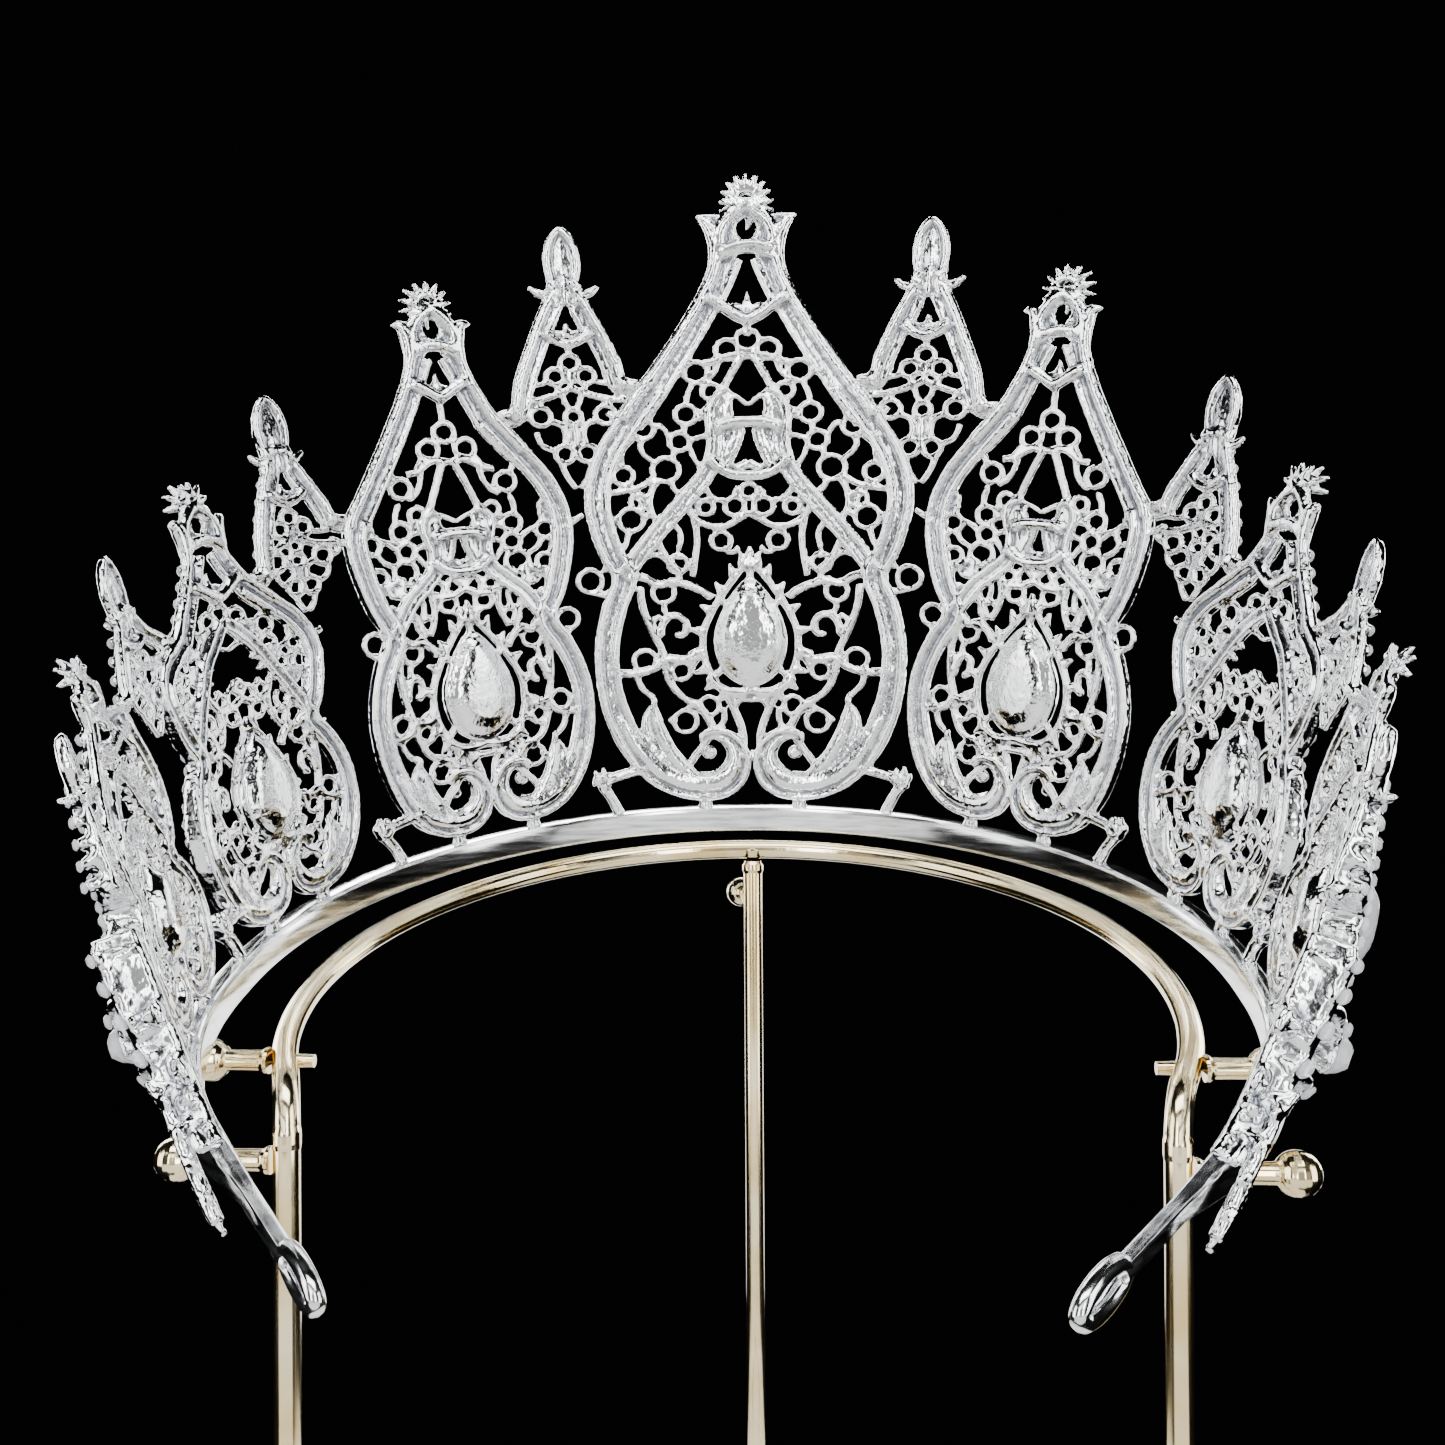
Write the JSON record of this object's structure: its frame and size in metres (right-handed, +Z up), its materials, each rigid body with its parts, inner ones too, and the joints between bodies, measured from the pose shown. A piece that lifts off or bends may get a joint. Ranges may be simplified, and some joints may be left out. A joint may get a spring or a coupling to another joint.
{
  "type": "tiara on a stand",
  "caption": "Tall openwork tiara of onion-shaped scroll panels and bud gables on a narrow band, held up by a bent rod stand.",
  "frame": {"origin": "on the floor, under the middle of the whole object's box, inside the stand's round foot", "axes": "+Z up, -Y towards the front of the tiara, -X towards the wearer's right"},
  "size_m": [0.1722, 0.1584, 0.274],
  "materials": {
    "cast_silver": "polished cast metal with a bright silver plate",
    "gold_rod": "polished gold-coloured rod",
    "clear_crystal": "clear faceted crystal"
  },
  "bodies": {
    "root": {"band": "cast_silver", "panel_centre": "cast_silver", "panel_right_1": "cast_silver", "panel_right_2": "cast_silver", "panel_right_3": "cast_silver", "panel_left_1": "cast_silver", "panel_left_2": "cast_silver", "panel_left_3": "cast_silver", "bud_right_1": "cast_silver", "bud_right_2": "cast_silver", "bud_right_3": "cast_silver", "bud_right_4": "cast_silver", "bud_left_1": "cast_silver", "bud_left_2": "cast_silver", "bud_left_3": "cast_silver", "bud_left_4": "cast_silver", "end_leaf_right": "cast_silver", "end_leaf_left": "cast_silver", "stone_centre": "clear_crystal", "stone_right_1": "clear_crystal", "stone_right_2": "clear_crystal", "stone_right_3": "clear_crystal", "stone_left_1": "clear_crystal", "stone_left_2": "clear_crystal", "stone_left_3": "clear_crystal", "stand_bow": "gold_rod", "stand_front_post": "gold_rod", "stand_foot": "gold_rod", "stand_peg_front": "gold_rod", "stand_peg_right_upper": "gold_rod", "stand_peg_right_lower": "gold_rod", "stand_peg_left_upper": "gold_rod", "stand_peg_left_lower": "gold_rod"}
  },
  "joints": []
}
